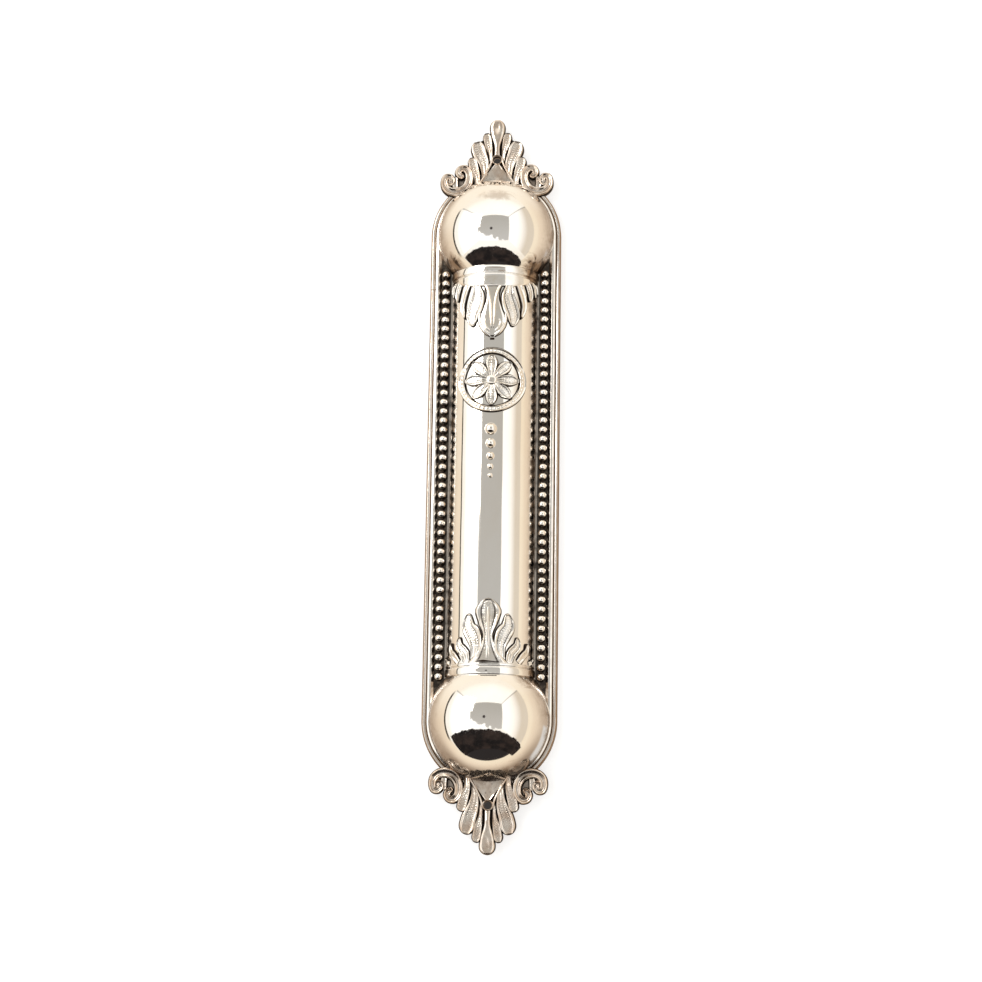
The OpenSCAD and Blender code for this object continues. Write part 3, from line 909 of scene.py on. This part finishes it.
def medallion_parts():
    """Rosette of eight petals in a beaded ring."""
    petals, ring_beads, boss_r, half_ring = 8, 48, 1.25, 0.75
    radius = (medal_high.x - medal_low.x) / 2
    centre_z = (medal_high.z + medal_low.z) / 2
    turn = np.linspace(0, 2 * np.pi, 240, endpoint=False)[:, None]
    t = np.sin(np.linspace(-np.pi / 2, np.pi / 2, 25))[None, :]
    ring = radius - half_ring + half_ring * t
    side = np.abs(t)
    beads = 0.5 + 0.5 * np.cos(ring_beads * turn)
    form = np.sqrt(1 - side**8) * (0.45 + 0.55 * bump(side, 0.72, 0.2) + 0.4 * bump(t, 0, 0.26) * beads)
    shine = 1.1 - 0.5 * bump(side, 0.4, 0.1) - 0.45 * bump(t, 0, 0.3) * (1 - beads)
    shine = np.clip(shine - side**16, 0, 1)
    height = LEVEL + (RELIEF - 0.12) * np.clip(form, 0, 1)
    parts = [on_tube((ring * np.sin(turn), -ring * np.cos(turn), height, shine), 1, centre_z,
                     wrap_rows=True, flat=True)]
    halo = np.minimum(radius - half_ring + 0.93 * t, tube_r - 0.1)
    parts.append(on_tube((halo * np.sin(turn), -halo * np.cos(turn), HALO_H + 0 * halo * turn,
                          0 * halo * turn), 1, centre_z, wrap_rows=True, flat=True))
    for i in range(petals):
        angle = 2 * math.pi * i / petals
        for across, along, level, shine in tube_leaf(
                [(0, 0.9), (0, 2.6), (0, 4.2), (0, 6.4)], [1.0, 2.2, 2.9, 2.2], RELIEF, "leaf",
                rows=60, columns=31, close=2.4):
            spun = (across * math.cos(angle) + along * math.sin(angle),
                    along * math.cos(angle) - across * math.sin(angle), level, shine)
            parts.append(on_tube(spun, 1, centre_z, flat=True))
    s = np.linspace(0, 1, 14)[None, :]
    crown = 0.25 + 0.43 * np.sqrt(1 - 0.98 * s**2) + 0 * turn
    boss = (boss_r * s * np.sin(turn), -boss_r * s * np.cos(turn), crown, 1.1 - 0.5 * s**4 + 0 * turn)
    parts.append(on_tube(boss, 1, centre_z, wrap_rows=True, flat=True))
    return parts


make_piece("rosette", medallion_parts(), leaf_silver, "case", "cast_silver", "medallion", auto=50)


def drop_bead_parts():
    """Graduated studs in a column, each with a fillet at its foot."""
    columns = 40
    z = drop_high.z - DROP_RADII[0]
    parts = []
    for i, radius in enumerate(DROP_RADII):
        if i:
            z -= DROP_RADII[i - 1] + radius + DROP_GAP
        turn = np.linspace(0, np.pi / 2, 16)
        rows = [[radius * math.sin(t), radius * math.cos(t)] for t in turn]
        rows += [[radius * 1.05, -0.12 * radius], [radius * 1.12, -0.3], [0, -0.35]]
        profile = np.array(rows)
        points, quads = lathe(profile, columns)
        stood = np.column_stack([points[:, 0], -points[:, 2] - tube_r, points[:, 1] + z])
        shine = np.repeat(np.clip(profile[:, 1] / radius * 3 + 0.4, 0, 1), columns)
        parts.append((stood, quads, shine))
    return parts


make_piece("drop_studs", drop_bead_parts(), bead_silver, "case", "polished_silver", "drop_beads", auto=60)


# ---------------------------------------------------------------- back: cover, rails, parchment
def cover_sheet():
    """Flat cover with straight sides, round ends and softened edges."""
    half = cover_high.x
    low, high = -cover_high.y, -cover_low.y
    across = np.sin(np.linspace(-np.pi / 2, np.pi / 2, 61))[None, :] * half
    inner_r = flange_r - LEG_W - SLIDE_GAP
    ends = [np.sqrt(flange_r**2 - across**2) + end_z, -np.sqrt(inner_r**2 - across**2) - end_z]
    share = np.linspace(0, 1, 81)[:, None]
    soft = 0.12

    def face(height, inset):
        shrink = 1 - inset / half
        z = ends[0] - inset + (ends[1] - ends[0] + 2 * inset) * share
        x = across * shrink + 0 * share
        return np.stack([x, np.full_like(x, -height), z], -1)

    return [
        slab(face(high, soft), face(high - soft, 0), 1.0),
        slab(face(high - soft, 0), face(low + soft, 0), 1.0),
        slab(face(low + soft, 0), face(low, soft), 1.0),
    ]


def grip_parts():
    """Thumb ridges that fade at their ends."""
    ridges = 3
    low, high = box_mm("cover_grip")
    radius = high.y - low.y
    length = high.x - low.x
    pitch = (high.z - low.z - 2 * radius) / (ridges - 1)
    parts = []
    for i in range(ridges):
        s = np.linspace(-1, 1, 60)[:, None]
        t = np.linspace(0, np.pi, 15)[None, :]
        swell = radius * np.clip((1 - s**12), 0, 1) ** 0.5
        x = s * length / 2 + 0 * t
        y = low.y + swell * np.sin(t)
        z = low.z + radius + i * pitch + radius * np.cos(t) + 0 * s
        front = np.stack([x, y, z], -1)
        back = np.stack([x, np.full_like(x, low.y - 0.05), z], -1)
        parts.append(slab(front, back, 1.0))
    return parts


make_piece("cover_plate", cover_sheet(), brushed_sheet, "cover", "sheet_silver", "rear_cover", auto=30)
make_piece("thumb_ridges", grip_parts(), brushed_sheet, "cover", "sheet_silver", "cover_grip", auto=50)


def scroll_parts():
    """Parchment rolled up from one long strip."""
    centre = (scroll_low + scroll_high) / 2
    outer = (scroll_high.x - scroll_low.x) / 2
    inner, turns, thick = 0.95, 6.2, 0.16
    share = np.linspace(0, 1, 420)[:, None]
    z = np.linspace(scroll_low.z, scroll_high.z, 26)[None, :]
    turn = 2 * np.pi * turns * share

    def wound(radius):
        return np.stack([centre.x + radius * np.cos(turn) + 0 * z, centre.y + radius * np.sin(turn) + 0 * z,
                         z + 0 * turn], -1)

    radius = inner + thick + (outer - inner - thick) * share
    return [slab(wound(radius), wound(radius - thick), 1.0)]


def sleeve_parts():
    """Clear film wrapped once round the parchment, with its free edge overlapping."""
    centre = (sleeve_low + sleeve_high) / 2
    outer = (sleeve_high.x - sleeve_low.x) / 2
    share = np.linspace(0, 1, 120)[:, None]
    z = np.linspace(sleeve_low.z, sleeve_high.z, 60)[None, :]
    turn = 2 * np.pi * 1.15 * share
    radius = outer - 0.09 + 0.08 * share + 0 * z

    def wound(r):
        return np.stack([centre.x + r * np.cos(turn), centre.y + r * np.sin(turn), z + 0 * turn], -1)

    return [slab(wound(radius), wound(radius - 0.04), 1.0)]


make_piece("rolled_parchment", scroll_parts(), parchment, "scroll", "parchment",
           "parchment_scroll", auto=50)
make_piece("film_sleeve", sleeve_parts(), film, "scroll", "clear_film", "scroll_sleeve", auto=50)


# ---------------------------------------------------------------- CAD nodes that stay visible
def dress(node, material):
    """Gives a CAD node its finished material."""
    mesh = frame["nodes"][node].data
    mesh.materials.clear()
    mesh.materials.append(material)


dress("base_plate", oxidised_plate)
for rail in ("left_guide_rail", "right_guide_rail"):
    dress(rail, oxidised_plate)


# ---------------------------------------------------------------- studio
def studio_world():
    """Pale room for the reflections: a grey ceiling ahead, white walls, tan surroundings behind."""
    world = bpy.data.worlds.new("studio")
    world.use_nodes = True
    scene.world = world
    g = Graph(world.node_tree)
    direction = g.add("TexCoord", output=0)
    x, y, z = g.axes(direction)
    ahead = g.times(y, -1)
    safe = g.most(ahead, 0.04)
    flat_x, flat_z = g.over(x, safe), g.over(z, safe)
    waves = g.minus(g.add("TexNoise", {"Vector": direction, "Scale": 7.0, "Detail": 3.0}), 0.5)
    # How far out towards each wall, with 1 at the ceiling's edge
    right, left = g.over(flat_x, 0.52), g.over(flat_x, -0.64)
    top, bottom = g.over(flat_z, 0.58), g.over(flat_z, -0.36)
    sides, ends = g.most(left, right), g.most(top, bottom)
    out = g.most(sides, ends)
    left_wall = g.mix(g.step(out, 2, 8), rgb(1.45, 1.45, 1.43), rgb(1.1, 1.07, 1.0))
    right_wall = g.mix(g.step(out, 1.2, 4.5), rgb(1.3, 1.28, 1.24), rgb(0.78, 0.69, 0.57))
    top_wall = g.mix(g.step(out, 1.5, 6), rgb(1.25, 1.22, 1.15), rgb(1.08, 1.0, 0.87))
    low_wall = g.mix(g.step(out, 1.0, 6), rgb(1.15, 1.12, 1.06), rgb(1.0, 0.92, 0.8))
    side_walls = g.mix(g.step(g.minus(right, left), -0.1, 0.1), left_wall, right_wall)
    end_walls = g.mix(g.step(g.minus(top, bottom), -0.1, 0.1), low_wall, top_wall)
    walls = g.mix(g.step(g.minus(ends, sides), -0.05, 0.05), side_walls, end_walls)
    # The walls meet in thin darker lines
    apart = g.math("ABSOLUTE", g.minus(ends, sides))
    crease = g.over(apart, g.most(out, 0.5))
    walls = g.mix(g.times(g.step(crease, 0.0, 0.06, 0.55, 0.0), g.step(z, -0.1, 0.2)),
                  walls, rgb(0.12, 0.1, 0.08))
    # A window's light falls on the near left of the ceiling
    glow = g.plus(g.times(flat_x, -0.43), g.times(flat_z, -1.0))
    glow = g.plus(glow, g.times(waves, 0.45))
    ceiling = g.mix(g.step(flat_z, -0.4, 0.6), rgb(0.60, 0.585, 0.56), rgb(0.50, 0.485, 0.45))
    ceiling = g.mix(g.step(glow, 0.25, 0.3), ceiling, rgb(1.35, 1.34, 1.32))
    # Small dark lamp on the ceiling, as the square of the distance from its middle
    lamp_x = g.math("POWER", g.plus(flat_x, 0.12), 2.0)
    lamp_z = g.math("POWER", g.plus(flat_z, -0.06), 2.0)
    lamp = g.plus(lamp_x, lamp_z)
    ceiling = g.mix(g.fall(lamp, 0.0016, 0.003), ceiling, rgb(0.06, 0.05, 0.05))
    room = g.mix(g.step(out, 0.985, 1.015), ceiling, walls)
    # Dark floor under the screen that stands below the camera
    room = g.mix(g.fall(z, -0.76, -0.7), room, rgb(0.03, 0.026, 0.026))
    # Tan surroundings behind the room's edge, browner the further round behind the case
    edge = g.minus(ahead, g.times(x, 0.05))
    table = g.mix(g.step(ahead, -0.72, -0.1), rgb(0.60, 0.48, 0.37), rgb(0.90, 0.75, 0.58))
    table = g.mix(g.step(ahead, -0.15, 0.1), table, rgb(1.0, 0.87, 0.68))
    low = g.times(g.fall(z, -0.75, 0.0), g.fall(ahead, -0.5, -0.05))
    table = g.mix(low, table, rgb(0.36, 0.265, 0.19))
    table = g.mix(g.fall(ahead, -1.0, -0.8), table, rgb(0.2, 0.13, 0.085))
    high = g.minus(z, g.times(x, 0.3))
    high = g.times(g.step(high, 0.2, 0.95), g.step(ahead, -0.8, -0.3))
    table = g.mix(high, table, rgb(1.1, 1.0, 0.85))
    # A pale patch low on the right behind, which only the case's back and the domes' feet reflect
    pale = g.times(g.step(z, -0.6, -0.45), g.fall(z, -0.04, 0.02))
    pale = g.times(pale, g.step(x, 0.4, 0.55))
    pale = g.times(pale, g.fall(ahead, -0.6, -0.5))
    table = g.mix(pale, table, rgb(0.80, 0.785, 0.76))
    # Dark line where the room ends, on the left
    arc = g.fall(g.math("ABSOLUTE", g.minus(edge, 0.088)), 0.026, 0.042)
    arc = g.times(arc, g.fall(x, -0.72, -0.62))
    arc = g.times(arc, g.step(z, -0.5, -0.35))
    arc = g.times(arc, g.fall(z, 0.55, 0.68))
    colour = g.mix(g.step(edge, 0.125, 0.135), g.mix(arc, table, rgb(0.05, 0.04, 0.035)), room)
    seen = g.add("LightPath", output=0)
    plain = g.add("Background", {0: rgb(0.97, 0.97, 0.965), 1: 1.0})
    lit = g.add("Background", {0: colour, 1: 1.0})
    g.add("OutputWorld", {0: g.add("MixShader", {0: seen, 1: lit, 2: plain})}, output=None)


def hide_from(piece, *rays):
    """Leaves a studio piece out for the given kinds of rays."""
    for ray in rays:
        setattr(piece, "visible_" + ray, False)


def dark_screen():
    """Curved dark cloth below the camera, seen only in the silver, which gives it contrast.

    knots are degrees to the right and the height of its upper edge there, in metres."""
    knots = np.array([(-80, -0.25), (-64, -0.241), (-45, -0.222), (-28, -0.215), (-12, -0.232), (0, -0.222),
                      (12, -0.24), (25, -0.255), (37, -0.285), (49, -0.324), (60, -0.345), (71, -0.38),
                      (85, -0.45)])
    rows, columns, radius, foot = 120, 8, 0.48, -0.78
    turn = np.linspace(-80, 85, rows)[:, None]
    folds = 0.006 * np.sin(turn * 0.35) + 0.004 * np.sin(turn * 0.83)
    top = np.interp(turn, knots[:, 0], knots[:, 1]) + folds
    share = np.linspace(0, 1, columns)[None, :]
    z = top + (foot - top) * share
    x, y = radius * np.sin(np.radians(turn)), -radius * np.cos(np.radians(turn))
    points = np.stack([x + 0 * z, y + 0 * z, z], -1)
    mesh = bpy.data.meshes.new("dark_screen")
    mesh.from_pydata(points.reshape(-1, 3).tolist(), [], grid_faces(rows, columns).tolist())
    screen = bpy.data.objects.new("dark_screen", mesh)
    scene.collection.objects.link(screen)
    material, g = new_material("dark_cloth")
    fold = g.step(g.noise(5, 2), 0.35, 0.75)
    glow = g.add("Emission", {0: g.mix(fold, rgb(0.014, 0.012, 0.012), rgb(0.042, 0.03, 0.026)), 1: 1.0})
    g.add("OutputMaterial", {0: glow}, output=None)
    mesh.materials.append(material)
    hide_from(screen, "camera", "diffuse", "shadow", "transmission")


def area_light(name, place, aim, size, power, colour):
    light = bpy.data.lights.new(name, "AREA")
    light.size = size
    light.energy = power
    light.color = colour
    holder = bpy.data.objects.new(name, light)
    holder.location = place
    holder.rotation_euler = (Vector(aim) - Vector(place)).to_track_quat("-Z", "Y").to_euler()
    holder.visible_camera = False
    scene.collection.objects.link(holder)
    return holder


def wall_behind():
    """White wall that is seen from its front only and doesn't show in the silver."""
    work = bmesh.new()
    bmesh.ops.create_grid(work, x_segments=8, y_segments=8, size=3.0)
    bmesh.ops.rotate(work, verts=work.verts, cent=(0, 0, 0), matrix=Matrix.Rotation(math.pi / 2, 3, "X"))
    mesh = bpy.data.meshes.new("wall")
    work.to_mesh(mesh)
    work.free()
    wall = bpy.data.objects.new("wall", mesh)
    scene.collection.objects.link(wall)
    material, g = new_material("wall_white")
    x, y, z = g.axes(g.place())
    # Painted shade: the wall is painted dark round the nail holes, where the finials cover it, so the holes
    # look dark inside
    from_hole = g.minus(g.math("ABSOLUTE", z), hole_z * MM)
    from_hole = g.math("SQRT", g.plus(g.math("POWER", from_hole, 2.0), g.math("POWER", x, 2.0)))
    open_wall = g.step(from_hole, 1.2 * MM, 2.5 * MM, 0.03, 1.0)
    tone = g.mix(g.noise(3, 2), rgb(0.5, 0.5, 0.5), rgb(0.52, 0.52, 0.52))
    tone = g.mix(open_wall, rgb(0.02, 0.018, 0.016), tone)
    glow = g.mix(open_wall, rgb(0.02, 0.018, 0.016), rgb(0.62, 0.625, 0.63))
    matt = g.add("BsdfDiffuse", {0: tone})
    paint = g.add("AddShader", {0: matt, 1: g.add("Emission", {0: glow, 1: 1.0})})
    clear = g.add("BsdfTransparent")
    behind = g.add("NewGeometry", output=6)
    g.add("OutputMaterial", {0: g.add("MixShader", {0: behind, 1: paint, 2: clear})}, output=None)
    mesh.materials.append(material)
    hide_from(wall, "glossy", "diffuse", "shadow", "transmission")


def main_camera():
    """Camera about half a metre away, a little below and to the right of the middle."""
    camera = bpy.data.objects.new("camera", bpy.data.cameras.new("camera"))
    scene.collection.objects.link(camera)
    camera.data.sensor_width = 36
    camera.data.lens = 74.8
    camera.data.clip_start = 0.01
    distance, below, right = 0.5, math.radians(12), math.radians(3.9)
    camera.location = (
        distance * math.cos(below) * math.sin(right),
        -distance * math.cos(below) * math.cos(right),
        -distance * math.sin(below),
    )
    aim = Vector((-0.0005, 0, -0.0041))
    look = (aim - camera.location).to_track_quat("-Z", "Y").to_matrix().to_4x4()
    roll = Matrix.Rotation(math.radians(0.86), 4, "Z")
    camera.matrix_world = Matrix.Translation(camera.location) @ look @ roll
    scene.camera = camera


studio_world()
dark_screen()
wall_behind()
main_camera()
area_light("window", (-0.7, -0.8, 0.45), (0, 0, 0), 0.5, 4.0, (1.0, 0.99, 0.97))
scene.view_settings.view_transform = "Standard"
scene.view_settings.look = "None"
